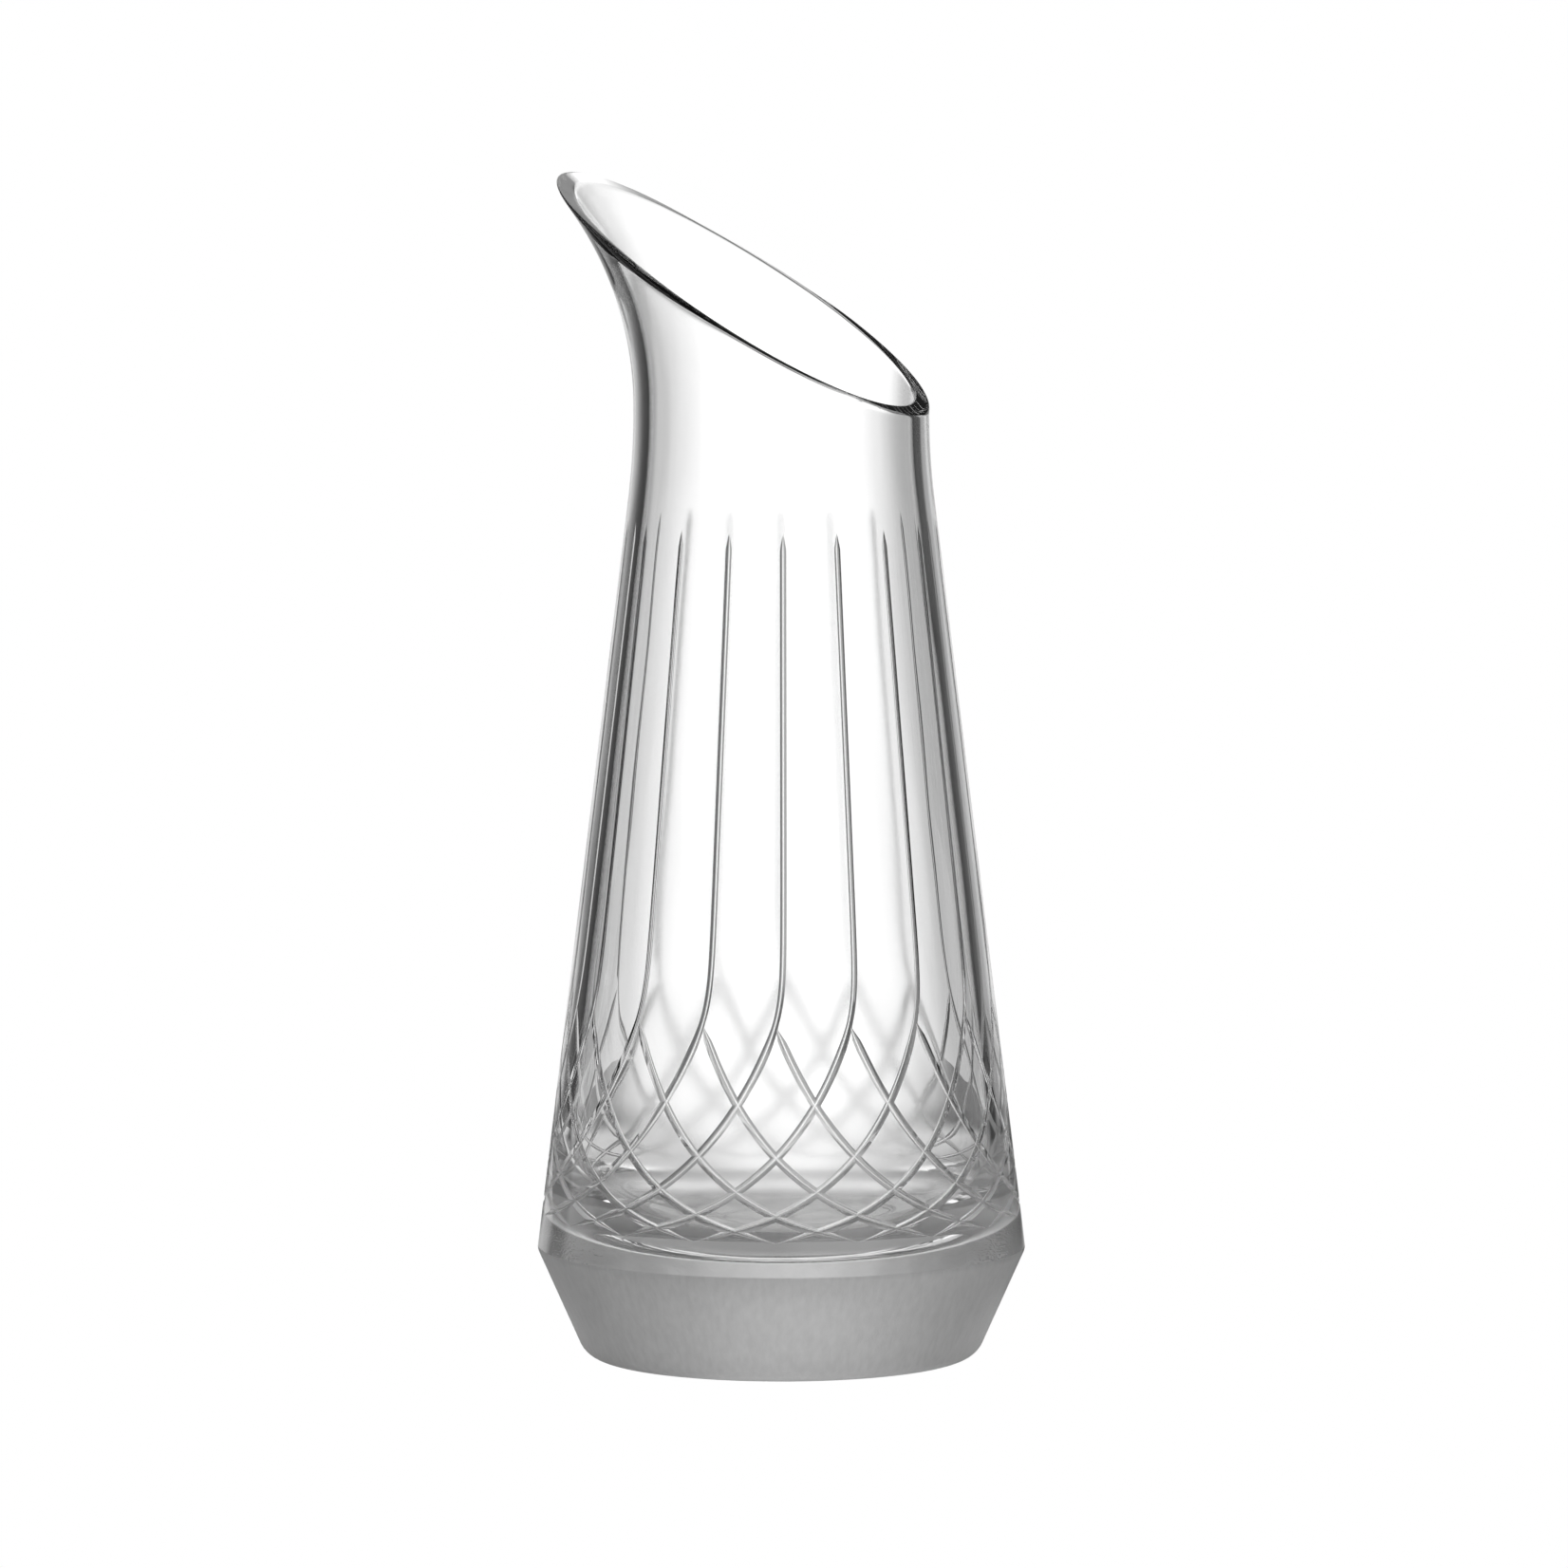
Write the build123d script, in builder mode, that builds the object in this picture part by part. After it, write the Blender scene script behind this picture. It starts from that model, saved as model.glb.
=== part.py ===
"""A one-litre cut-crystal carafe with a slanted, flared pouring mouth.

The vessel is one glass. It is divided here into the zones that a glass cutter names: the satin foot,
the cut body, the plain neck and the rounded lip, which meet face to face. +Z is up, the origin is the
centre of the flat base, and the spout points along -X. Millimetres.
"""
from build123d import *
import math
import os

# Outside
BELT_R = 56.7            # widest radius, where the body meets the foot
BELT_Z = 25.5            # height of the belt, which is the upper edge of the satin finish
BELT_EDGE_R = 2.5        # rounding of the belt
FOOT_R = 45.3            # radius at the base, before its corner is rounded
FOOT_EDGE_R = 6.0        # rounding of the base's corner
NECK_R = 34.3            # outside radius of the neck
CONE_TOP_Z = 210.7       # height where the body's cone would reach the neck's radius
SHOULDER_R = 170.0       # radius of the soft blend from the cone to the upright neck

# Hollow
NECK_WALL = 3.7          # glass thickness at the neck
BODY_WALL = 4.4          # glass thickness low on the body
BODY_WALL_Z = 50.0       # height at which BODY_WALL holds
FLOOR_Z = 24.5           # lowest point of the hollow, on the axis
FLOOR_RISE = 1.5         # rise of the floor from the axis to the bowl's corner
BOWL_R = 24.0            # radius of the corner between the floor and the wall

# Trumpet flare and mouth: the slanted cut through the flare leaves the spout on its high side
FLARE_START_Z = 222.1    # the neck is upright below this height
FLARE_ARC_R = 78.8       # arc from the upright neck to the leaning side
FLARE_LEAN = 33.6        # degrees that the flare's side leans out above the arc
HOLLOW_ARC_R = 74.9      # the hollow flares more tightly, so the glass thins towards the spout
HOLLOW_LEAN = 34.6
FLARE_TOP_Z = 281.0      # top of the blank, before the mouth is cut
MOUTH_Z = 242.3          # height of the slanted mouth on the axis
MOUTH_SLOPE = 0.61       # rise of the mouth for each millimetre towards the spout
LIP_EDGE_R = 0.6         # rounding of the mouth's two edges
LIP_DEPTH = 4.0          # depth of the lip zone below the mouth

# Foot zone: clear glass of the body dips into the foot under the hollow
CORE_R = 38.0
CORE_DEPTH = 5.0

# Wedge cuts
CUT_COUNT = 18
CUT_TOP_Z = 196.3        # pointed upper ends of the long cuts
CUT_PHASE = 10.0         # degrees; the spout points midway between two cuts
CUT_DRIFT = 1.9          # degrees that the lattice is turned against the upright cuts
CUT_HALF_ANGLE = 55.0    # degrees between a cut's middle plane and its sides
UPRIGHT_CUT_W = 1.45     # width of the upright cuts
LATTICE_CUT_W = 2.0      # width of the cuts in the lattice
LATTICE_START_Z = 84.0   # the short cuts leave the long ones here
LATTICE_FULL_Z = 78.0    # below this height all cuts have the lattice's width
LATTICE_END_Z = 34.0     # pointed lower ends of both families
CUT_END_W = 0.1          # width at the pointed ends
CUT_TAPER = 4.0          # height over which an upper end comes to its point
TOOL_PROUD = 0.6         # how far the cutting tool stands out of the glass
BEND_HEIGHTS = [105, 95, 90, 85, 80]                          # where the upright cuts bend
LATTICE_HEIGHTS = [73, 68, 62, 57, 52, 48, 45, 42, 39, 36.6]  # closer as the sweep flattens

# Both families sweep round by an angle that grows as they near a height they never reach.
SWEEP_FOOT_Z = 29.0
SWEEP_RISE = 54.1        # height of the lattice's start above SWEEP_FOOT_Z
SWEEP_FADE = 25.2        # degrees of turn in which that height falls by 1/e
SWEEP_SOFTNESS = 1.8     # degrees over which the upright cuts bend into the sweep

CONE_SLOPE = (BELT_R - NECK_R) / (CONE_TOP_Z - BELT_Z)
SEAM_Z = CONE_TOP_Z - SHOULDER_R * math.tan(math.atan(CONE_SLOPE) / 2)


def cone_r(z):
    """Outside radius of the body's cone at height z."""
    return BELT_R - CONE_SLOPE * (z - BELT_Z)


def flare_corners(neck_r, arc_r, lean):
    """(radius, height, rounding) corners of a flare that starts from an upright neck."""
    lean = math.radians(lean)
    corner_z = FLARE_START_Z + arc_r * math.tan(lean / 2)
    top_r = neck_r + (FLARE_TOP_Z - corner_z) * math.tan(lean)
    return [(neck_r, corner_z, arc_r), (top_r, FLARE_TOP_Z, 0)]


def mouth_plane(depth=0.0):
    """The slanted plane of the mouth, facing up, or the plane that far below it."""
    return Plane(origin=(0, 0, MOUTH_Z), z_dir=(MOUTH_SLOPE, 0, 1)).offset(-depth)


def half_outline(corners):
    """Half section of a turned shape, from (radius, height, rounding) corners going up."""
    points = [(r, z) for r, z, _ in corners]
    with BuildSketch(Plane.XZ) as outline:
        with BuildLine():
            FilletPolyline(*points, radius=[rounding for _, _, rounding in corners[1:-1]])
            Polyline(points[-1], (0, FLARE_TOP_Z), points[0])
        make_face()
    return outline.sketch


# The blank: the whole vessel before it is cut
bowl_z = FLOOR_Z + FLOOR_RISE
hollow_neck_r = NECK_R - NECK_WALL
hollow_slope = (cone_r(BODY_WALL_Z) - BODY_WALL - hollow_neck_r) / (CONE_TOP_Z - BODY_WALL_Z)
bowl_corner_r = hollow_neck_r + hollow_slope * (CONE_TOP_Z - bowl_z)

outside = half_outline([
    (0, 0, 0),
    (FOOT_R, 0, FOOT_EDGE_R),
    (BELT_R, BELT_Z, BELT_EDGE_R),
    (NECK_R, CONE_TOP_Z, SHOULDER_R),
] + flare_corners(NECK_R, FLARE_ARC_R, FLARE_LEAN))
hollow = half_outline([
    (0, FLOOR_Z, 0),
    (bowl_corner_r, bowl_z, BOWL_R),
    (hollow_neck_r, CONE_TOP_Z, SHOULDER_R),
] + flare_corners(hollow_neck_r, HOLLOW_ARC_R, HOLLOW_LEAN))

with BuildPart() as blank:
    revolve(outside, axis=Axis.Z)
    revolve(hollow, axis=Axis.Z, mode=Mode.SUBTRACT)
    split(bisect_by=mouth_plane(), keep=Keep.BOTTOM)
    mouth_face = blank.faces().filter_by(GeomType.PLANE).sort_by(Axis.Z)[-1]
    fillet(mouth_face.edges(), radius=LIP_EDGE_R)


# The foot: satin outside, with a recess for the body's clear glass
with BuildPart() as foot_zone:
    with BuildSketch(Plane.XZ):
        Polygon(
            (0, 0),
            (BELT_R, 0),
            (BELT_R, BELT_Z),
            (CORE_R, BELT_Z),
            (CORE_R - CORE_DEPTH, BELT_Z - CORE_DEPTH),
            (0, BELT_Z - CORE_DEPTH),
            align=None,
        )
    revolve(axis=Axis.Z)

with BuildPart() as foot:
    add(blank.part)
    add(foot_zone.part, mode=Mode.INTERSECT)


# The body and its cuts
def sweep_turn(z):
    """Degrees of turn at height z, counted from the lattice's start."""
    return SWEEP_FADE * math.log(SWEEP_RISE / (z - SWEEP_FOOT_Z))


def long_cut_angle(z):
    """Azimuth of the first long cut: upright above, then sweeping towards lower angles."""
    past_upright = (CUT_DRIFT + sweep_turn(z)) / SWEEP_SOFTNESS
    return CUT_PHASE - SWEEP_SOFTNESS * math.log1p(math.exp(past_upright))


def short_cut_angle(z):
    """Azimuth of the first short cut, which sweeps the other way."""
    return CUT_PHASE - CUT_DRIFT + sweep_turn(z)


def cut_width(z):
    """Full width of a cut at height z, away from its ends."""
    share = (LATTICE_START_Z - z) / (LATTICE_START_Z - LATTICE_FULL_Z)
    return UPRIGHT_CUT_W + (LATTICE_CUT_W - UPRIGHT_CUT_W) * min(1, max(0, share))


def on_cone(angle, z):
    turn = math.radians(angle(z))
    return Vector(cone_r(z) * math.cos(turn), cone_r(z) * math.sin(turn), z)


def cut_plane(angle, z):
    """Plane across the cut at height z, with its y axis pointing out of the glass."""
    nudge = 0.01
    along = on_cone(angle, z + nudge) - on_cone(angle, z - nudge)
    turn = math.radians(angle(z))
    outwards = Vector(math.cos(turn), math.sin(turn), CONE_SLOPE)
    return Plane(origin=on_cone(angle, z), x_dir=outwards.cross(along), z_dir=along)


def cut_tool(angle, start_z, heights):
    """The wedge that a wheel takes out, from its pointed start down to its pointed lower end."""
    full_z = start_z - CUT_TAPER
    stations = [(start_z, CUT_END_W), (full_z, cut_width(full_z))]
    stations += [(z, cut_width(z)) for z in heights]
    stations += [(LATTICE_END_Z, CUT_END_W)]
    with BuildPart() as tool:
        for z, width in stations:
            depth = width / 2 / math.tan(math.radians(CUT_HALF_ANGLE))
            half_top = width / 2 * (depth + TOOL_PROUD) / depth
            with BuildSketch(cut_plane(angle, z)):
                Polygon((0, -depth), (half_top, TOOL_PROUD), (-half_top, TOOL_PROUD), align=None)
        loft(ruled=True)
    return tool.part


long_tool = cut_tool(long_cut_angle, CUT_TOP_Z, BEND_HEIGHTS + LATTICE_HEIGHTS)
short_tool = cut_tool(short_cut_angle, LATTICE_START_Z, LATTICE_HEIGHTS)

with BuildPart() as body:
    add(blank.part)
    add(foot_zone.part, mode=Mode.SUBTRACT)
    split(bisect_by=Plane.XY.offset(SEAM_Z), keep=Keep.BOTTOM)
    for tool in (long_tool, short_tool):
        with PolarLocations(0, CUT_COUNT):
            add(tool, mode=Mode.SUBTRACT)


# The neck and the lip
with BuildPart() as neck:
    add(blank.part)
    split(bisect_by=Plane.XY.offset(SEAM_Z), keep=Keep.TOP)
    split(bisect_by=mouth_plane(LIP_DEPTH), keep=Keep.BOTTOM)

with BuildPart() as lip:
    add(blank.part)
    split(bisect_by=mouth_plane(LIP_DEPTH), keep=Keep.TOP)


os.makedirs("parts", exist_ok=True)
for name, piece in {"foot": foot, "body": body, "neck": neck, "lip": lip}.items():
    piece.part.label = name
    export_step(piece.part, f"parts/{name}.step")
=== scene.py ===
import math

import bpy
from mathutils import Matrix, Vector
from mathutils.geometry import delaunay_2d_cdt

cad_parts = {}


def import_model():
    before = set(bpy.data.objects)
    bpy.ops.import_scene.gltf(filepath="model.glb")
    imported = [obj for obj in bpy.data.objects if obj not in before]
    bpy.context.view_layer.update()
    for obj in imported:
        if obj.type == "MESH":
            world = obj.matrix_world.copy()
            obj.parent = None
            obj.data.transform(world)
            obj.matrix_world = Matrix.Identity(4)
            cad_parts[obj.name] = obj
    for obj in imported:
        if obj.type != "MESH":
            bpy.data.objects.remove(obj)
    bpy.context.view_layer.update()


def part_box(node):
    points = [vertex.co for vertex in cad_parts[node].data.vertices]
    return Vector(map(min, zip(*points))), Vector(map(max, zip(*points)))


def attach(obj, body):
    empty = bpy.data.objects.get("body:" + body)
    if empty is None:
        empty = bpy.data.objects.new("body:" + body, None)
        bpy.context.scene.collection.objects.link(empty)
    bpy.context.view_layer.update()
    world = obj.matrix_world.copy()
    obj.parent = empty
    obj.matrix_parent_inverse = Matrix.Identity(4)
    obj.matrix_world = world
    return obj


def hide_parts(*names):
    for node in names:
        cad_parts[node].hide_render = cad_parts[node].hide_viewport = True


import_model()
foot_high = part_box("foot")[1]

MM = 0.001

# ---------------------------------------------------------------- the glass, in millimetres
BELT_Z = foot_high.z / MM        # edge between the satin foot and the polished body
BELT_R = 56.7
BELT_EDGE_R = 2.5
FOOT_R = 45.3
FOOT_EDGE_R = 6.0
NECK_R = 34.3
CONE_TOP_Z = 210.7
SHOULDER_R = 170.0
NECK_WALL = 3.7
BODY_WALL = 4.4
BODY_WALL_Z = 50.0
FLOOR_Z = 24.5
FLOOR_RISE = 1.5
BOWL_REACH = 30.0                # how far the bowl's rounding reaches from its corner
FLARE_START_Z = 222.1
FLARE_TOP_Z = 281.0
OUTER_FLARE = (78.8, math.radians(33.6))     # arc radius and lean of the outside
INNER_FLARE = (74.9, math.radians(34.6))
MOUTH_Z = 242.3
MOUTH_SLOPE = 0.61
LIP_ROUND = 1.0                  # how far the lip's roundings reach from its edges
SPOUT_ROUND = 3.0                # and from the outer edge on both sides of the spout

CUTS = 18
PITCH = 360 / CUTS
CUT_TOP_Z = 196.3
CUT_TAPER = 4.0                  # height over which an upper end comes to its point
CUT_PHASE = 10.0                 # azimuth of the upright cuts, in degrees
CUT_DRIFT = 1.9                  # degrees by which both sweeps lag behind the upright cuts
CUT_SHAPE = 0.7                  # depth over half width
CUT_ROUND = 0.6                  # rounding of the cut's bottom, as a share of its half width
CUT_LINES = (0.2, 0.45, 0.75)    # where the cut is meshed between its middle and its edge
UPRIGHT_W = 1.45
UPRIGHT_END_Z = 100.0            # the long cuts run straight down to about here
LATTICE_W = 2.0
LATTICE_START_Z = 84.0
LATTICE_FULL_Z = 78.0
LATTICE_END_Z = 34.0
END_FULL_Z = 36.6
SWEEP_FOOT_Z = 29.0              # the sweeps get ever flatter towards this height
SWEEP_RISE = 54.1                # and start this far above it
SWEEP_FADE = 25.2                # degrees swept as the height above it falls by a factor of e
SWEEP_SOFTNESS = 1.8             # degrees over which a long cut bends into its sweep
CONE_SLOPE = (BELT_R - NECK_R) / (CONE_TOP_Z - BELT_Z)
SLANT = math.hypot(1, CONE_SLOPE)            # horizontal depth of a cut over its depth square to the wall

GRID_LOW_Z = 30.0                # the cut surface is meshed between these heights
GRID_HIGH_Z = 199.0
FLAT_R = 52.0                    # radius at which the cut surface is unrolled to mesh it
STEPS = 180                      # steps round the vessel
ACROSS = STEPS // CUTS           # steps across one pitch of the cuts
FINE, COARSE = 1.0, 4.0          # steps down the curved and the straight parts of the cuts
FINEST = 0.3                     # and in the lowest rows of diamonds
FINE_TOP_Z = 90.0                # the plain points are fine up to here
CLEARANCE = 0.4                  # least distance of a plain point from a line
PLAIN_TOP = 205.0                # the rings above the cuts reach up to here
SIDE_ROWS = 34                   # rows from there to the lip
LIP_ROWS = 8                     # rows in each rounding of the lip
ARC_ROWS = 10                    # rows in each rounding of the foot


# ---------------------------------------------------------------- turned profiles
def arc_points(corner, before, after, radius, count):
    """Points of the arc that rounds a corner of a profile."""
    corner, before, after = Vector(corner), Vector(before), Vector(after)
    a = (before - corner).normalized()
    b = (after - corner).normalized()
    half = a.angle(b) / 2
    reach = radius / math.tan(half)
    centre = corner + (a + b).normalized() * (radius / math.sin(half))
    first = corner + a * reach - centre
    last = corner + b * reach - centre
    turn = first.angle_signed(last)
    points = []
    for i in range(count + 1):
        angle = -turn * i / count
        c, s = math.cos(angle), math.sin(angle)
        points.append((centre.x + first.x * c - first.y * s, centre.y + first.x * s + first.y * c))
    return points


def ease(value, start, end):
    """0 to 1, smoothly, as the value goes from start to end."""
    share = min(1, max(0, (value - start) / (end - start)))
    return share * share * (3 - 2 * share)


def curve(a, corner, c, count):
    """Points after a along the curve that rounds a corner of a profile, ending at c."""
    a, corner, c = Vector(a), Vector(corner), Vector(c)
    points = []
    for i in range(1, count + 1):
        t = i / count
        p = a * (1 - t) ** 2 + corner * 2 * t * (1 - t) + c * t * t
        points.append((p.x, p.y))
    return points


def cone_r(z):
    """Radius of the plain cone at height z."""
    return BELT_R - CONE_SLOPE * (z - BELT_Z)


HOLLOW_NECK_R = NECK_R - NECK_WALL
HOLLOW_SLOPE = (cone_r(BODY_WALL_Z) - BODY_WALL - HOLLOW_NECK_R) / (CONE_TOP_Z - BODY_WALL_Z)


def wall_r(z, neck_r, slope, flare):
    """Radius at height z of the outside or of the hollow, from the cone up to the flare."""
    arc_r, lean = flare
    reach = SHOULDER_R * math.tan(math.atan(slope) / 2)
    arc_top = CONE_TOP_Z + reach
    arc_low = CONE_TOP_Z - reach * math.cos(math.atan(slope))
    if z < arc_low:
        return neck_r + slope * (CONE_TOP_Z - z)
    if z < arc_top:
        return neck_r + SHOULDER_R - math.sqrt(SHOULDER_R**2 - (arc_top - z) ** 2)
    if z < FLARE_START_Z:
        return neck_r
    up = z - FLARE_START_Z
    if up < arc_r * math.sin(lean):
        return neck_r + arc_r - math.sqrt(arc_r**2 - up**2)
    return neck_r + arc_r * (1 - math.cos(lean)) + (up - arc_r * math.sin(lean)) * math.tan(lean)


def outer_r(z):
    """Radius of the outside at height z."""
    return wall_r(z, NECK_R, CONE_SLOPE, OUTER_FLARE)


def inner_r(z):
    """Radius of the hollow at height z."""
    return wall_r(z, HOLLOW_NECK_R, HOLLOW_SLOPE, INNER_FLARE)


def mouth_corner(radius_at, turn):
    """(radius, height) where a wall meets the slanted mouth, at one azimuth."""
    low, high = PLAIN_TOP, FLARE_TOP_Z
    for _ in range(40):
        z = (low + high) / 2
        if z - MOUTH_Z + MOUTH_SLOPE * radius_at(z) * math.cos(turn) < 0:
            low = z
        else:
            high = z
    return radius_at(low), low


# ---------------------------------------------------------------- the wedge cuts
def sweep_turn(z):
    """Degrees that either family of cuts has swept round at height z."""
    return SWEEP_FADE * math.log(SWEEP_RISE / (z - SWEEP_FOOT_Z))


def long_angle(z):
    """Azimuth of a long cut at height z, in degrees."""
    z = max(z, LATTICE_END_Z)
    return CUT_PHASE - SWEEP_SOFTNESS * math.log1p(math.exp((CUT_DRIFT + sweep_turn(z)) / SWEEP_SOFTNESS))


def short_angle(z):
    """Azimuth of its short cut, in degrees."""
    return CUT_PHASE - CUT_DRIFT + sweep_turn(z)


def lead(z):
    """Degrees from a long cut to its short cut at height z."""
    return short_angle(z) - long_angle(z)


def cut_half_w(z, start_z):
    """Half the width of a cut at height z."""
    if z >= start_z or z <= LATTICE_END_Z:
        return 0.0
    share = min(1, max(0, (LATTICE_START_Z - z) / (LATTICE_START_Z - LATTICE_FULL_Z)))
    width = UPRIGHT_W + (LATTICE_W - UPRIGHT_W) * share
    width *= min(1, (start_z - z) / CUT_TAPER)
    return width / 2 * min(1, (z - LATTICE_END_Z) / (END_FULL_Z - LATTICE_END_Z))


def half_angle(z, angle, start_z):
    """Half the width of a cut, in degrees round the vessel."""
    per_degree = cone_r(z) * math.radians(1)
    low = max(z, LATTICE_END_Z + 0.01)
    run = (angle(low + 0.005) - angle(low - 0.005)) / 0.01 * per_degree
    return cut_half_w(z, start_z) * math.hypot(1, run) / per_degree


def long_half(z):
    return half_angle(z, long_angle, CUT_TOP_Z)


def short_half(z):
    return half_angle(z, short_angle, LATTICE_START_Z)


def solve(f, low, high):
    """Height between low and high where f changes sign."""
    rising = f(high) > 0
    for _ in range(50):
        mid = (low + high) / 2
        if (f(mid) > 0) == rising:
            high = mid
        else:
            low = mid
    return (low + high) / 2


def wrap(angle):
    """The same place relative to the nearest cut, in degrees."""
    return (angle + PITCH / 2) % PITCH - PITCH / 2


def cut_profile(t):
    """Share of a cut's full depth at t half widths from its middle line; below zero past its edges."""
    return 1 - (math.hypot(t, CUT_ROUND) - CUT_ROUND) / (math.hypot(1, CUT_ROUND) - CUT_ROUND)


def cut_depths(u, z):
    """(depth, flank name) of each family of cuts at u degrees past a long cut; below zero past its edges."""
    found = []
    if LATTICE_END_Z < z < CUT_TOP_Z:
        away, half = wrap(u), long_half(z)
        found.append((cut_half_w(z, CUT_TOP_Z) * CUT_SHAPE * cut_profile(away / half), "long"))
    if LATTICE_END_Z < z < LATTICE_START_Z:
        away, half = wrap(u - lead(z)), short_half(z)
        found.append((cut_half_w(z, LATTICE_START_Z) * CUT_SHAPE * cut_profile(away / half), "short"))
    return found


def cut_depth(u, z):
    """Depth of the deeper cut at this place, zero on the plain cone."""
    return max([0.0] + [depth for depth, _ in cut_depths(u, z)])


def cut_name(u, z):
    """The cut that makes the surface at this place, or None on the plain cone."""
    depth, name = max(cut_depths(u, z), default=(0, None))
    return name if depth > 1e-6 else None


def cut_sector():
    """One pitch of the cut surface: points (angle, height), triangles, and its four borders."""
    low, high = LATTICE_END_Z + 0.001, LATTICE_START_Z - 0.1
    crossings = {m: solve(lambda z: lead(z) - PITCH * m, low, high) for m in range(1, 6)}
    crossings[0], crossings[6] = 80.0, LATTICE_END_Z
    points, edges, index = [], [], {}

    def vertex(u, z):
        key = (round(u, 5), round(z, 5))
        if key not in index:
            index[key] = len(points)
            points.append((u, z))
        return index[key]

    def line(u_at, high, low, step, first=None, last=None):
        """Adds a line of points down from high to low; first and last are its end points."""
        count = max(1, round((high - low) / step))
        row = []
        for i in range(count + 1):
            z = high + (low - high) * i / count
            u = u_at(z)
            if i == 0 and first:
                u, z = first
            if i == count and last:
                u, z = last
            row.append(vertex(u, z))
        for a, b in zip(row, row[1:]):
            if a != b:
                edges.append((a, b))
        return row

    def corners(m, t):
        """Right, bottom, left and top corners of the crossing of the lines at t half widths."""
        z = crossings[m]
        if m == 6 or t == 0:
            return [(0.0, z)] * 4

        def beside(h, way):
            return lead(h) - PITCH * m + way * t * (short_half(h) - long_half(h))

        def between(h, way):
            return lead(h) - PITCH * m + way * t * (short_half(h) + long_half(h))

        right = solve(lambda h: beside(h, 1), z - 1, z + 1)
        bottom = solve(lambda h: between(h, -1), crossings[m + 1] + 0.02, z)
        left = solve(lambda h: beside(h, -1), z - 1, z + 1)
        top = solve(lambda h: between(h, 1), z, crossings[m - 1] - 0.02)
        return [(t * long_half(right), right), (t * long_half(bottom), bottom),
                (-t * long_half(left), left), (-t * long_half(top), top)]

    def shift(place):
        return place[0] + PITCH, place[1]

    def emerging(t):
        """Where the short cut's line at t half widths comes out of the long cut's flank."""
        def hidden(h):
            depths = cut_depths(lead(h) + t * short_half(h), h)
            return depths[0][0] - depths[1][0]
        z = solve(hidden, 76.0, 83.6)
        return lead(z) + t * short_half(z), z

    # borders of the sector, along the middle lines of two long cuts
    stops = [GRID_HIGH_Z, CUT_TOP_Z, CUT_TOP_Z - CUT_TAPER, UPRIGHT_END_Z]
    stops += [crossings[m] for m in range(1, 7)] + [GRID_LOW_Z]
    left = []
    for high, low in zip(stops, stops[1:]):
        step = COARSE if high > UPRIGHT_END_Z else FINE
        if LATTICE_END_Z < high <= crossings[4]:
            step = FINEST
        row = line(lambda z: 0.0, high, low, step)
        left += row if not left else row[1:]
    right = [vertex(points[i][0] + PITCH, points[i][1]) for i in left]
    edges.extend(zip(right, right[1:]))
    top = [vertex(PITCH * i / ACROSS, GRID_HIGH_Z) for i in range(ACROSS + 1)]
    bottom = [vertex(PITCH * i / ACROSS, GRID_LOW_Z) for i in range(ACROSS + 1)]
    edges.extend(zip(top, top[1:]))
    edges.extend(zip(bottom, bottom[1:]))

    # lines along the cuts, each ending where it meets the crossing cut
    shares = (0.0,) + CUT_LINES + (1.0,)
    RIGHT, BOTTOM, LEFT, TOP = range(4)      # the order in which corners() gives them

    def run(along, step, first, last):
        line(along, first[1], last[1], step, first=first, last=last)

    for t in shares:
        at = {m: corners(m, t) for m in range(1, 7)}

        def after(z):
            return t * long_half(z)

        def before(z):
            return PITCH - t * long_half(z)

        if t:
            for along, offset in ((after, 0), (before, PITCH)):
                line(along, CUT_TOP_Z, CUT_TOP_Z - CUT_TAPER, 1.2, first=(offset, CUT_TOP_Z))
                line(along, CUT_TOP_Z - CUT_TAPER, UPRIGHT_END_Z, COARSE)
            line(before, UPRIGHT_END_Z, at[1][TOP][1], FINE, last=shift(at[1][TOP]))
            if t < 1:
                line(after, UPRIGHT_END_Z, at[1][RIGHT][1], FINE, last=at[1][RIGHT])
            else:
                line(after, UPRIGHT_END_Z, emerging(1.0)[1], FINE, last=emerging(1.0))
                run(after, FINE, emerging(-1.0), at[1][RIGHT])
            for m in range(1, 6):
                step = FINE if m < 4 else FINEST
                run(after, step, at[m][BOTTOM], at[m + 1][RIGHT])
                run(before, step, shift(at[m][LEFT]), shift(at[m + 1][TOP]))
        for m in range(6):
            step = FINE if m < 3 else FINEST
            for side, start_corner, end_corner in ((1, RIGHT, TOP), (-1, BOTTOM, LEFT)):
                if t == 0 and side < 0:
                    continue

                def along(z):
                    return lead(z) - PITCH * m + side * t * short_half(z)

                first = at[m][start_corner] if m else emerging(side * t)
                run(along, step, first, shift(at[m + 1][end_corner]))

    # creases where two cuts meet
    creases = [[emerging(t) for t in shares], [emerging(-t) for t in shares]]
    for m in range(1, 6):
        rows = [corners(m, t) for t in shares]
        creases += [[row[k] for row in rows] for k in (RIGHT, BOTTOM)]
        creases += [[shift(row[k]) for row in rows] for k in (LEFT, TOP)]
    for crease in creases:
        chain = [vertex(*place) for place in crease]
        edges.extend((a, b) for a, b in zip(chain, chain[1:]) if a != b)

    # plain points between the lines
    def flat(u, z):
        """The place on the unrolled cone."""
        return Vector((math.radians(long_angle(z) + u) * FLAT_R, z))

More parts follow.
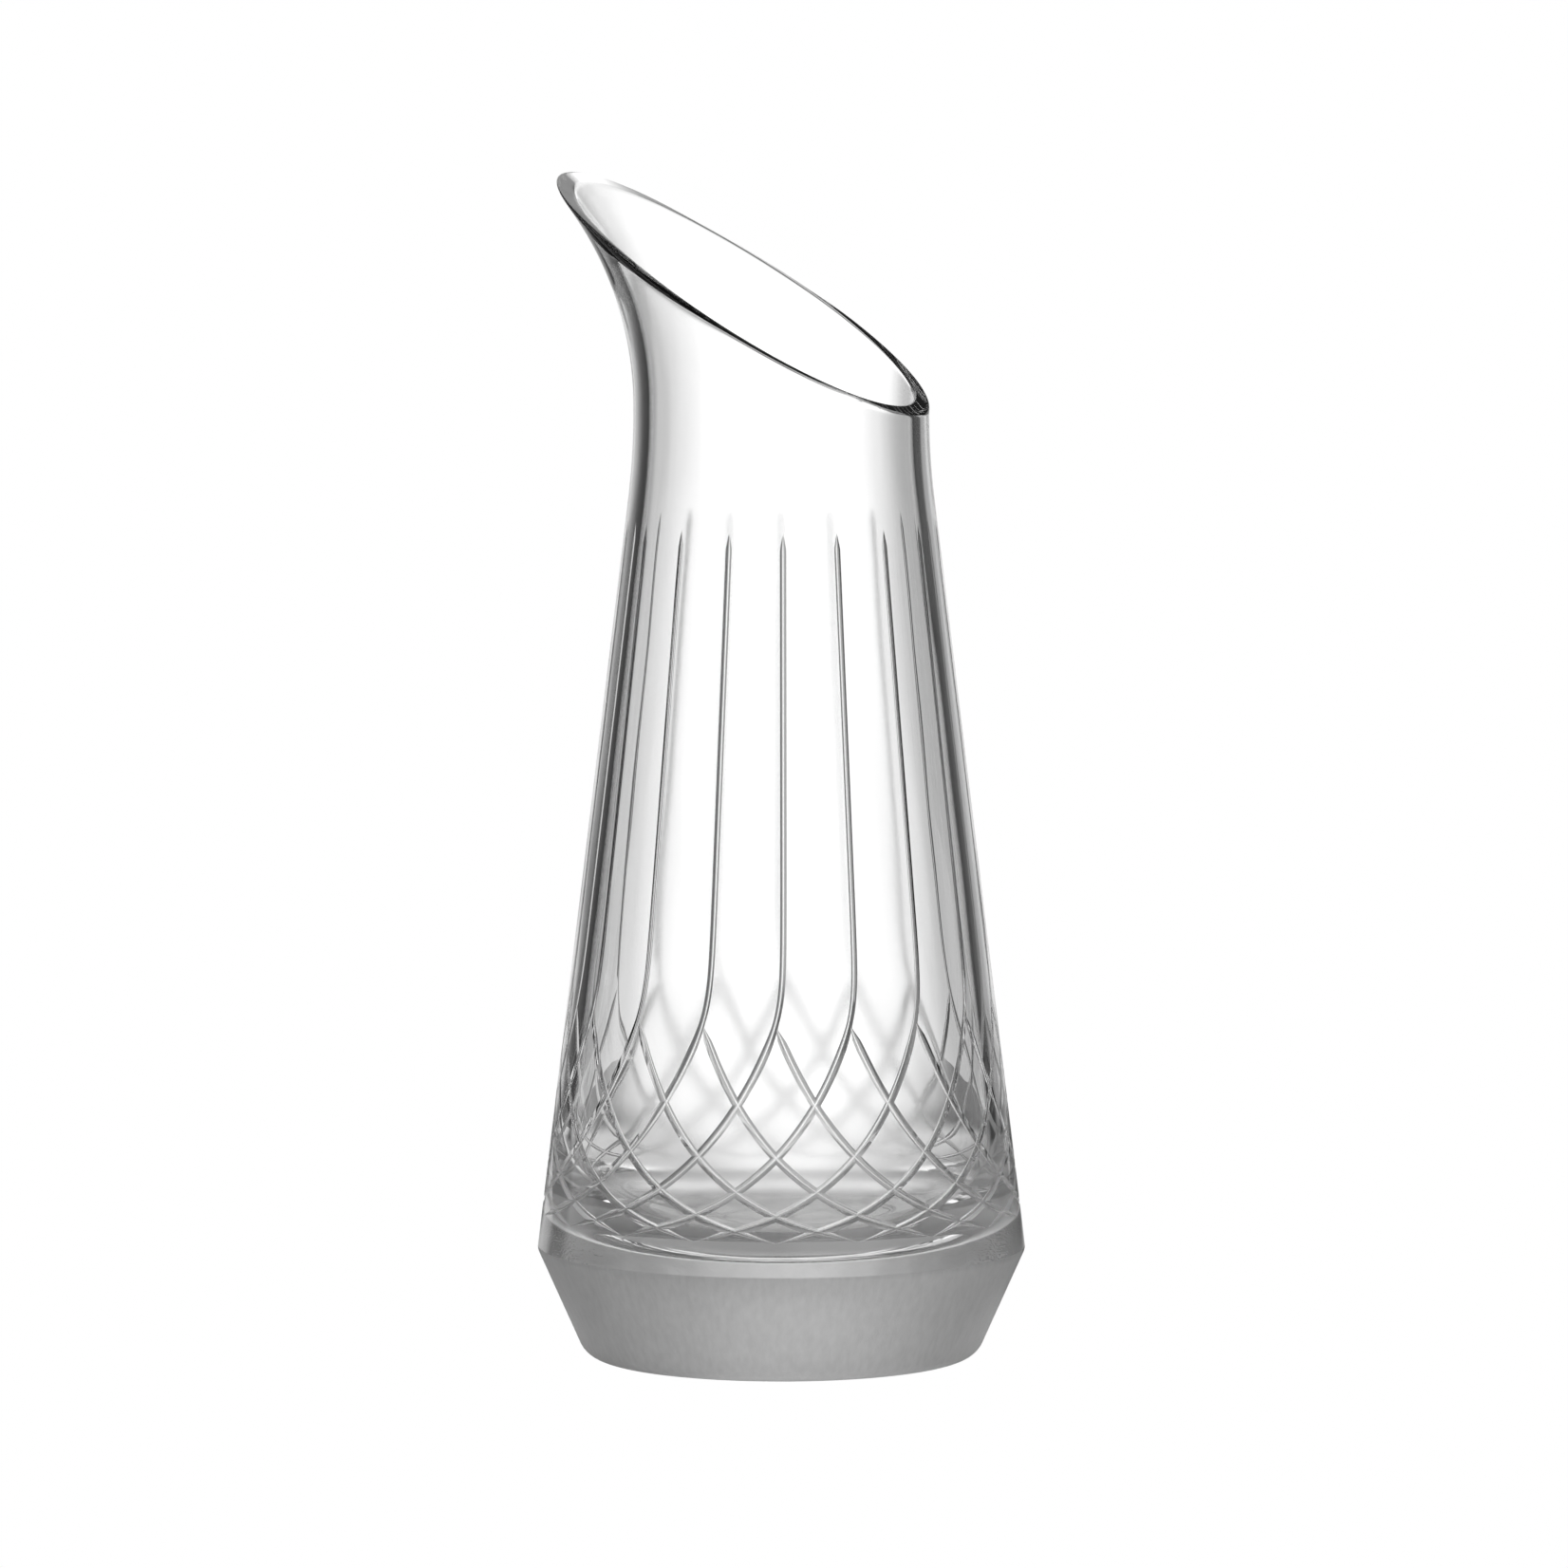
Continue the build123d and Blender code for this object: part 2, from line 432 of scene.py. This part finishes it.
    segments = [(flat(*points[a]), flat(*points[b])) for a, b in edges]
    z = GRID_LOW_Z + FINE
    while z < GRID_HIGH_Z - 1:
        near = [s for s in segments if min(s[0].y, s[1].y) - 1 < z < max(s[0].y, s[1].y) + 1]
        step = PITCH / ACROSS / (1 if z > FINE_TOP_Z else 2)
        for i in range(1, round(PITCH / step)):
            p = flat(step * i, z)
            for a, b in near:
                along = b - a
                t = min(1, max(0, (p - a).dot(along) / max(along.length_squared, 1e-12)))
                if (a + along * t - p).length < CLEARANCE:
                    break
            else:
                vertex(step * i, z)
        z += FINE if z < FINE_TOP_Z else COARSE

    loop = left[::-1] + top[1:-1] + right + bottom[-2:0:-1]
    places = [flat(*p) for p in points]
    flats, _, faces, sources, _, _ = delaunay_2d_cdt(places, edges, [loop[::-1]], 1, 1e-6)
    found, renamed = [], {}
    for i, (place, ids) in enumerate(zip(flats, sources)):
        renamed.update((k, i) for k in ids)
        if ids:
            found.append(points[ids[0]])
        else:
            found.append((math.degrees(place.x / FLAT_R) - long_angle(place.y), place.y))
    borders = [[renamed[i] for i in row] for row in (left, right, top, bottom)]
    return found, faces, borders


# ---------------------------------------------------------------- the mesh
POLISHED, SATIN, INSIDE = 0, 1, 2
verts, polygons = [], []
finishes, normals_at = {}, {}    # finish and own corner normals, by the polygon's number


def put(radius, turn_degrees, z):
    """Adds a point given in millimetres."""
    turn = math.radians(turn_degrees)
    verts.append((radius * math.cos(turn) * MM, radius * math.sin(turn) * MM, z * MM))
    return len(verts) - 1


def ring(radius, z, phase):
    """Points of a level ring."""
    return [put(radius, phase + 360 * i / STEPS, z) for i in range(STEPS)]


def stitch(lower, upper, finish=POLISHED):
    """Faces between two rings that follow each other along the profile."""
    for i in range(STEPS):
        j = (i + 1) % STEPS
        finishes[len(polygons)] = finish
        polygons.append((lower[i], lower[j], upper[j], upper[i]))


def spread(a, b, count):
    """Points strictly between a and b."""
    return [(a[0] + (b[0] - a[0]) * i / count, a[1] + (b[1] - a[1]) * i / count) for i in range(1, count)]


# outside, from the middle of the base to the cuts
CENTRE_R = 2.0
low_phase = long_angle(GRID_LOW_Z)
foot_arc = arc_points((FOOT_R, 0), (0, 0), (BELT_R, BELT_Z), FOOT_EDGE_R, ARC_ROWS)
belt_arc = arc_points((BELT_R, BELT_Z), (FOOT_R, 0), (NECK_R, CONE_TOP_Z), BELT_EDGE_R, ARC_ROWS)
profile = [(CENTRE_R, 0)] + spread((CENTRE_R, 0), foot_arc[0], 14) + foot_arc
profile += spread(foot_arc[-1], belt_arc[0], 12) + belt_arc
profile += spread(belt_arc[-1], (cone_r(GRID_LOW_Z), GRID_LOW_Z), 3)
centre = put(0, 0, 0)
rings = [ring(r, z, low_phase) for r, z in profile]
for i in range(STEPS):
    polygons.append((centre, rings[0][(i + 1) % STEPS], rings[0][i]))
satin_top = BELT_Z + 0.8
for (_, z), a, b in zip(profile[1:], rings, rings[1:]):
    stitch(a, b, SATIN if 0 < z < satin_top else POLISHED)

# the cuts
points, triangles, (left, right, top, bottom) = cut_sector()
to_left = dict(zip(right, left))
place = {}
for s in range(CUTS):
    for i, (u, z) in enumerate(points):
        if i not in to_left:
            place[s, i] = put(cone_r(z) - cut_depth(u, z) * SLANT, long_angle(z) + u + PITCH * s, z)
for s in range(CUTS):
    for i in to_left:
        place[s, i] = place[(s + 1) % CUTS, to_left[i]]


def cut_normal(u, z, name):
    """Normal of the cone or of one cut, followed past its edges."""
    step = 0.01
    angle = long_angle(z) + u

    def at(turn, h):
        depth = 0.0
        for cut, cut_id in cut_depths(turn - long_angle(h), h):
            if cut_id == name:
                depth = cut
        r = cone_r(h) - depth * SLANT
        return Vector((r * math.cos(math.radians(turn)), r * math.sin(math.radians(turn)), h))

    h = z
    if name:
        start_z = CUT_TOP_Z if name == "long" else LATTICE_START_Z
        h = min(max(z, LATTICE_END_Z + 3 * step), start_z - 3 * step)
    across = at(angle + step, h) - at(angle - step, h)
    upward = at(angle, h + step) - at(angle, h - step)
    return across.cross(upward).normalized()


names = []
for t in triangles:
    mid_z = sum(points[i][1] for i in t) / 3
    mid_angle = sum(points[i][0] + long_angle(points[i][1]) for i in t) / 3
    names.append(cut_name(mid_angle - long_angle(mid_z), mid_z))
first_normals = {}
for s in range(CUTS):
    cosine, sine = math.cos(math.radians(PITCH * s)), math.sin(math.radians(PITCH * s))
    for t, name in zip(triangles, names):
        own = []
        for i in t:
            if (i, name) not in first_normals:
                first_normals[i, name] = cut_normal(*points[i], name)
            n = first_normals[i, name]
            own.append((n.x * cosine - n.y * sine, n.x * sine + n.y * cosine, n.z))
        normals_at[len(polygons)] = own
        polygons.append(tuple(place[s, i] for i in t))

cut_bottom = [place[s, i] for s in range(CUTS) for i in bottom[:-1]]
cut_top = [place[s, i] for s in range(CUTS) for i in top[:-1]]
stitch(rings[-1], cut_bottom)

# outside, from the cuts to the mouth, and round the lip into the hollow
high_phase = long_angle(GRID_HIGH_Z)
last = cut_top
for z in (200.5, 202.0, 203.5, PLAIN_TOP):
    following = ring(outer_r(z), z, high_phase)
    stitch(last, following)
    last = following

columns = []
for i in range(STEPS):
    degrees = high_phase + 360 * i / STEPS
    turn = math.radians(degrees)
    out_r, out_z = mouth_corner(outer_r, turn)
    in_r, in_z = mouth_corner(inner_r, turn)
    beside_spout = ease(-math.cos(turn), -0.15, 0.4) * ease(-math.cos(turn), 1.0, 0.7)
    outer_round = LIP_ROUND + (SPOUT_ROUND - LIP_ROUND) * beside_spout
    start_z = out_z - outer_round
    end_z = in_z - LIP_ROUND
    edge = Vector((out_r, out_z))
    inside = Vector((in_r, in_z))
    flat_way = (inside - edge).normalized()
    flat_start = edge + flat_way * min(outer_round, (inside - edge).length - LIP_ROUND - 0.4)
    flat_end = inside - flat_way * LIP_ROUND
    column = []
    for k in range(1, SIDE_ROWS + 1):
        z = PLAIN_TOP + (start_z - PLAIN_TOP) * k / SIDE_ROWS
        column.append((outer_r(z), z))
    column += curve(column[-1], edge, flat_start, LIP_ROWS)
    column += spread(flat_start, flat_end, 3) + [tuple(flat_end)]
    column += curve(flat_end, inside, (inner_r(end_z), end_z), LIP_ROWS)
    for k in range(1, SIDE_ROWS + 1):
        z = end_z + (PLAIN_TOP - end_z) * k / SIDE_ROWS
        column.append((inner_r(z), z))
    columns.append([put(r, degrees, z) for r, z in column])
for k in range(len(columns[0])):
    following = [column[k] for column in columns]
    stitch(last, following, INSIDE if k > len(columns[0]) - SIDE_ROWS else POLISHED)
    last = following

# the hollow, down to the middle of its floor
bowl_z = FLOOR_Z + FLOOR_RISE
bowl_r = HOLLOW_NECK_R + HOLLOW_SLOPE * (CONE_TOP_Z - bowl_z)
bowl_corner = Vector((bowl_r, bowl_z))
bowl_start = bowl_corner + Vector((-HOLLOW_SLOPE, 1)).normalized() * BOWL_REACH
bowl_end = bowl_corner - Vector((bowl_r, FLOOR_RISE)).normalized() * BOWL_REACH
bowl = [tuple(bowl_start)] + curve(bowl_start, bowl_corner, bowl_end, 40)
descent = [(inner_r(z), z) for z in (202, 199, 196, 192)]    # round the shoulder
descent += spread(descent[-1], bowl[0], 40) + bowl + spread(bowl[-1], (0, FLOOR_Z), 12)
for r, z in descent:
    following = ring(r, z, high_phase)
    stitch(last, following, INSIDE)
    last = following
centre = put(0, 0, FLOOR_Z)
for i in range(STEPS):
    finishes[len(polygons)] = INSIDE
    polygons.append((last[i], last[(i + 1) % STEPS], centre))

mesh = bpy.data.meshes.new("vessel")
mesh.from_pydata(verts, [], polygons)
mesh.shade_smooth()
mesh.polygons.foreach_set("material_index", [finishes.get(i, POLISHED) for i in range(len(polygons))])
mesh.update()
loop_normals = [Vector(n.vector) for n in mesh.corner_normals]
for face, own in normals_at.items():
    first = mesh.polygons[face].loop_start
    for k, n in enumerate(own):
        loop_normals[first + k] = Vector(n)
mesh.normals_split_custom_set(loop_normals)
vessel = bpy.data.objects.new("vessel", mesh)
bpy.context.scene.collection.objects.link(vessel)
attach(vessel, "root")
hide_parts("foot", "body", "neck", "lip")


# ---------------------------------------------------------------- materials
STRIAE_DEPTH = 0.0001            # in metres
GRAIN_DEPTH = 0.00004


def glass(name, roughness):
    """A glass material, with its nodes, links and shader."""
    m = bpy.data.materials.new(name)
    m.use_nodes = True
    nodes, links = m.node_tree.nodes, m.node_tree.links
    shader = nodes["Principled BSDF"]
    shader.inputs["Base Color"].default_value = (1, 1, 1, 1)
    shader.inputs["Transmission Weight"].default_value = 1
    shader.inputs["IOR"].default_value = 1.52
    shader.inputs["Roughness"].default_value = roughness
    return m, nodes, links, shader


def noise(nodes, links, cells, detail):
    """Noise with so many cells to the metre along x, y and z."""
    place = nodes.new("ShaderNodeTexCoord")
    stretch = nodes.new("ShaderNodeMapping")
    stretch.inputs["Scale"].default_value = cells
    pattern = nodes.new("ShaderNodeTexNoise")
    pattern.inputs["Scale"].default_value = 1
    pattern.inputs["Detail"].default_value = detail
    links.new(place.outputs["Object"], stretch.inputs["Vector"])
    links.new(stretch.outputs["Vector"], pattern.inputs["Vector"])
    return pattern.outputs["Fac"]


def span(nodes, links, source, start, end, low, high):
    """Maps the values from start to end onto low to high."""
    node = nodes.new("ShaderNodeMapRange")
    for socket, value in (("From Min", start), ("From Max", end), ("To Min", low), ("To Max", high)):
        node.inputs[socket].default_value = value
    links.new(source, node.inputs["Value"])
    return node.outputs[0]


def relief(nodes, links, shader, height, depth):
    """Surface relief, depth in metres."""
    bump = nodes.new("ShaderNodeBump")
    bump.inputs["Distance"].default_value = depth
    links.new(height, bump.inputs["Height"])
    links.new(bump.outputs["Normal"], shader.inputs["Normal"])


def polished_glass():
    """Cut and polished: faint striae that run up the wall."""
    m, nodes, links, shader = glass("polished_crystal", 0.0)
    relief(nodes, links, shader, noise(nodes, links, (90, 90, 14), 1), STRIAE_DEPTH)
    return m


def satin_glass():
    """Sandblasted: a fine grain, with faint upright streaks where the blast has swept past."""
    m, nodes, links, shader = glass("satin_crystal", 0.55)
    shader.inputs["Transmission Weight"].default_value = 0.55
    streaks = noise(nodes, links, (700, 700, 40), 3)
    for socket, low, high in (("Base Color", 0.69, 0.80), ("Roughness", 0.5, 0.6)):
        links.new(span(nodes, links, streaks, 0.3, 0.7, low, high), shader.inputs[socket])
    relief(nodes, links, shader, noise(nodes, links, (2600, 2600, 2600), 2), GRAIN_DEPTH)
    return m


def inside_glass():
    """The hollow keeps a soft surface from the mould where it is looked straight through."""
    m, nodes, links, shader = glass("inside_crystal", 0.0)
    facing = nodes.new("ShaderNodeLayerWeight").outputs["Facing"]
    links.new(span(nodes, links, facing, 0.06, 0.16, 0.2, 0.0), shader.inputs["Roughness"])
    relief(nodes, links, shader, noise(nodes, links, (60, 60, 9), 1), STRIAE_DEPTH)
    return m


for m in (polished_glass(), satin_glass(), inside_glass()):
    mesh.materials.append(m)


# ---------------------------------------------------------------- studio
def seen_directly(nodes, links, shown, otherwise):
    """Mixes two shaders: one that the camera sees directly, and one for all other light."""
    path = nodes.new("ShaderNodeLightPath")
    mix = nodes.new("ShaderNodeMixShader")
    links.new(path.outputs["Is Camera Ray"], mix.inputs[0])
    links.new(otherwise.outputs[0], mix.inputs[1])
    links.new(shown.outputs[0], mix.inputs[2])
    return mix


def azimuth(nodes, links, source):
    """Direction round the vessel, from 0 to 1, of a position."""
    split = nodes.new("ShaderNodeSeparateXYZ")
    links.new(source, split.inputs[0])
    turn = nodes.new("ShaderNodeMath")
    turn.operation = "ARCTAN2"
    links.new(split.outputs[1], turn.inputs[0])
    links.new(split.outputs[0], turn.inputs[1])
    scale = nodes.new("ShaderNodeMath")
    scale.operation = "MULTIPLY"
    links.new(turn.outputs[0], scale.inputs[0])
    scale.inputs[1].default_value = 1 / math.tau
    share = nodes.new("ShaderNodeMath")
    share.operation = "FRACT"
    links.new(scale.outputs[0], share.inputs[0])
    return share.outputs[0]


def ramp(nodes, links, source, stops):
    """Grey ramp through (azimuth in degrees, brightness) stops."""
    node = nodes.new("ShaderNodeValToRGB")
    links.new(source, node.inputs[0])
    elements = node.color_ramp.elements
    for element, (degrees, value) in zip(elements, (stops[0], stops[-1])):
        element.position = degrees / 360
        element.color = (value, value, value, 1)
    for degrees, value in stops[1:-1]:
        element = elements.new(degrees / 360)
        element.color = (value, value, value, 1)
    return node.outputs[0]


def smooth_share(nodes, links, source, start, end):
    """0 to 1, smoothly, as the source goes from start to end."""
    share = nodes.new("ShaderNodeMapRange")
    share.interpolation_type = "SMOOTHSTEP"
    share.inputs["From Min"].default_value = start
    share.inputs["From Max"].default_value = end
    links.new(source, share.inputs["Value"])
    return share.outputs[0]


def blend_grey(nodes, links, share, low, high):
    """Mixes two greys, each a number or a socket."""
    mix = nodes.new("ShaderNodeMix")
    mix.data_type = "RGBA"
    links.new(share, mix.inputs["Factor"])
    for value, socket in ((low, mix.inputs[6]), (high, mix.inputs[7])):
        if isinstance(value, float):
            socket.default_value = (value, value, value, 1)
        else:
            links.new(value, socket)
    return mix.outputs[2]


# Brightness at each azimuth, in degrees, of the screens round the vessel and of the floor's painted glow. A
# broad light stands behind the vessel as seen from the camera and fades into dark flags on both sides.
# Smaller ones stand opposite the other sides.
WALL = [(0, .25), (48, .25), (58, .03), (73, .05), (77, .4), (90, .5), (95, .55), (99, .68), (101, .9),
        (103, 1.1), (105, 1.35), (113, 1.35), (115, 1.2), (117.5, 1.0), (120, .82), (123, .66), (130, .5),
        (135, .2), (142, .08), (160, .03), (166, .05), (171, .7), (189, .7), (194, .25), (288, .25),
        (300, 1.0), (330, 1.0), (342, .25), (360, .25)]
FAR_FLOOR = [(0, .25), (48, .25), (58, .03), (80, .03), (91, .06), (96.5, .12), (99, .35), (101, .75),
             (103, 1.1), (105, 1.35), (113, 1.35), (116, 1.15), (118, .85), (121, .4), (124, .12),
             (131, .1), (134, .5), (137, .8), (148, .8), (154, .1), (166, .1), (171, .7), (189, .7),
             (194, .25), (288, .25), (300, 1.2), (330, 1.2), (342, .25), (360, .25)]
NEAR_FLOOR = [(0, .2), (55, .2), (65, .1), (80, .4), (99, .8), (104, 1.1), (115, 1.1), (120, .7), (145, .6),
              (165, .2), (171, .3), (189, .3), (195, .2), (290, .2), (302, .55), (328, .55), (340, .2),
              (360, .2)]
# painted pool of light on the floor close round the foot
CLOSE_FLOOR = [(0, .6), (60, 1.2), (75, 2.0), (145, 2.0), (160, 1.2), (190, .6), (235, .5), (265, .8),
               (315, .8), (340, .5), (360, .6)]
HIGH_WALL = [(0, .1), (94, .05), (99, 1.0), (136, 1.0), (150, .6), (200, .6), (280, .6), (330, .6), (360, .1)]
DOME = 0.1                       # brightness above the screens
UNDER = 0.3                      # painted dim glow of the floor under the foot
SURROUND_R, SURROUND_H = 0.55, 0.6
HIGH_START, HIGH_FULL = 0.21, 0.26           # heights where WALL gives way to HIGH_WALL
FAR_START, FAR_FULL = 0.20, 0.32             # distances from the axis where each part of the floor starts
NEAR_START, NEAR_FULL = 0.06, 0.09
CLOSE_START, CLOSE_FULL = 0.04, 0.06
FLOOR_REACH = 12.0
FLOOR_DROP = 0.0002              # keeps the floor clear of the vessel's underside
WHITE = (1, 1, 1, 1)

world = bpy.data.worlds.new("studio")
bpy.context.scene.world = world
world.use_nodes = True
nodes, links = world.node_tree.nodes, world.node_tree.links
nodes.clear()
shown = nodes.new("ShaderNodeBackground")
shown.inputs[0].default_value = WHITE
otherwise = nodes.new("ShaderNodeBackground")
otherwise.inputs[0].default_value = (DOME, DOME, DOME, 1)
out = nodes.new("ShaderNodeOutputWorld")
links.new(seen_directly(nodes, links, shown, otherwise).outputs[0], out.inputs[0])


def stage_mesh(name, points, faces, material):
    """A part of the studio."""
    m = bpy.data.meshes.new(name)
    m.from_pydata(points, [], faces)
    o = bpy.data.objects.new(name, m)
    m.materials.append(material)
    bpy.context.scene.collection.objects.link(o)
    return o


def emission(name):
    """An empty material, with its nodes, links and the position on the surface."""
    m = bpy.data.materials.new(name)
    m.use_nodes = True
    nodes, links = m.node_tree.nodes, m.node_tree.links
    nodes.clear()
    return m, nodes, links, nodes.new("ShaderNodeNewGeometry").outputs["Position"]


# To the camera the floor is plain white. To all other light it glows with painted light, set by azimuth and
# distance: the brightest pool close round the foot and a dimmer patch right under it.
floor_paint, nodes, links, position = emission("pale_floor_with_painted_glow")
shown = nodes.new("ShaderNodeEmission")
shown.inputs[0].default_value = WHITE
otherwise = nodes.new("ShaderNodeEmission")
turn = azimuth(nodes, links, position)
length = nodes.new("ShaderNodeVectorMath")
length.operation = "LENGTH"
links.new(position, length.inputs[0])
distance = length.outputs["Value"]
light = ramp(nodes, links, turn, FAR_FLOOR)
for start, full, stops in ((FAR_START, FAR_FULL, NEAR_FLOOR), (NEAR_START, NEAR_FULL, CLOSE_FLOOR)):
    nearer = ramp(nodes, links, turn, stops)
    light = blend_grey(nodes, links, smooth_share(nodes, links, distance, start, full), nearer, light)
light = blend_grey(nodes, links, smooth_share(nodes, links, distance, CLOSE_START, CLOSE_FULL), UNDER, light)
links.new(light, otherwise.inputs[0])
out = nodes.new("ShaderNodeOutputMaterial")
links.new(seen_directly(nodes, links, shown, otherwise).outputs[0], out.inputs[0])
corners = [(x * FLOOR_REACH, y * FLOOR_REACH, -FLOOR_DROP) for x, y in ((-1, -1), (1, -1), (1, 1), (-1, 1))]
stage_mesh("floor", corners, [(0, 1, 2, 3)], floor_paint)

wall_paint, nodes, links, position = emission("screens_and_flags")
glow = nodes.new("ShaderNodeEmission")
turn = azimuth(nodes, links, position)
split = nodes.new("ShaderNodeSeparateXYZ")
links.new(position, split.inputs[0])
upward = smooth_share(nodes, links, split.outputs[2], HIGH_START, HIGH_FULL)
lower_light = ramp(nodes, links, turn, WALL)
upper_light = ramp(nodes, links, turn, HIGH_WALL)
links.new(blend_grey(nodes, links, upward, lower_light, upper_light), glow.inputs[0])
out = nodes.new("ShaderNodeOutputMaterial")
links.new(glow.outputs[0], out.inputs[0])
PANELS = 96
wall_points, wall_faces = [], []
for i in range(PANELS):
    a = math.tau * i / PANELS
    for z in (0.0005, SURROUND_H):
        wall_points.append((SURROUND_R * math.cos(a), SURROUND_R * math.sin(a), z))
    j = (i + 1) % PANELS
    wall_faces.append((2 * i, 2 * j, 2 * j + 1, 2 * i + 1))
surround = stage_mesh("surround", wall_points, wall_faces, wall_paint)
surround.visible_camera = False

# ---------------------------------------------------------------- camera
VIEW_TURN, VIEW_RISE, DISTANCE = math.radians(19.4), math.radians(6.7), 4.6
FRAME_WIDTH = 0.3638             # width that the picture covers at the vessel
level = math.cos(VIEW_RISE)
to_camera = Vector((math.sin(VIEW_TURN) * level, -math.cos(VIEW_TURN) * level, math.sin(VIEW_RISE)))
to_right = Vector((math.cos(VIEW_TURN), math.sin(VIEW_TURN), 0))
target = Vector((0, 0, 0.1339)) + to_right * 0.0006      # the middle of the picture
camera = bpy.data.objects.new("camera", bpy.data.cameras.new("camera"))
camera.data.lens = camera.data.sensor_width * DISTANCE / FRAME_WIDTH
camera.data.clip_start = 0.05
camera.data.clip_end = 50
camera.location = target + to_camera * DISTANCE
camera.rotation_euler = (-to_camera).to_track_quat("-Z", "Y").to_euler()
bpy.context.scene.collection.objects.link(camera)
bpy.context.scene.camera = camera

scene = bpy.context.scene
scene.view_settings.view_transform = "Standard"
scene.cycles.max_bounces = 24
scene.cycles.transmission_bounces = 24
scene.cycles.glossy_bounces = 12
scene.cycles.diffuse_bounces = 4
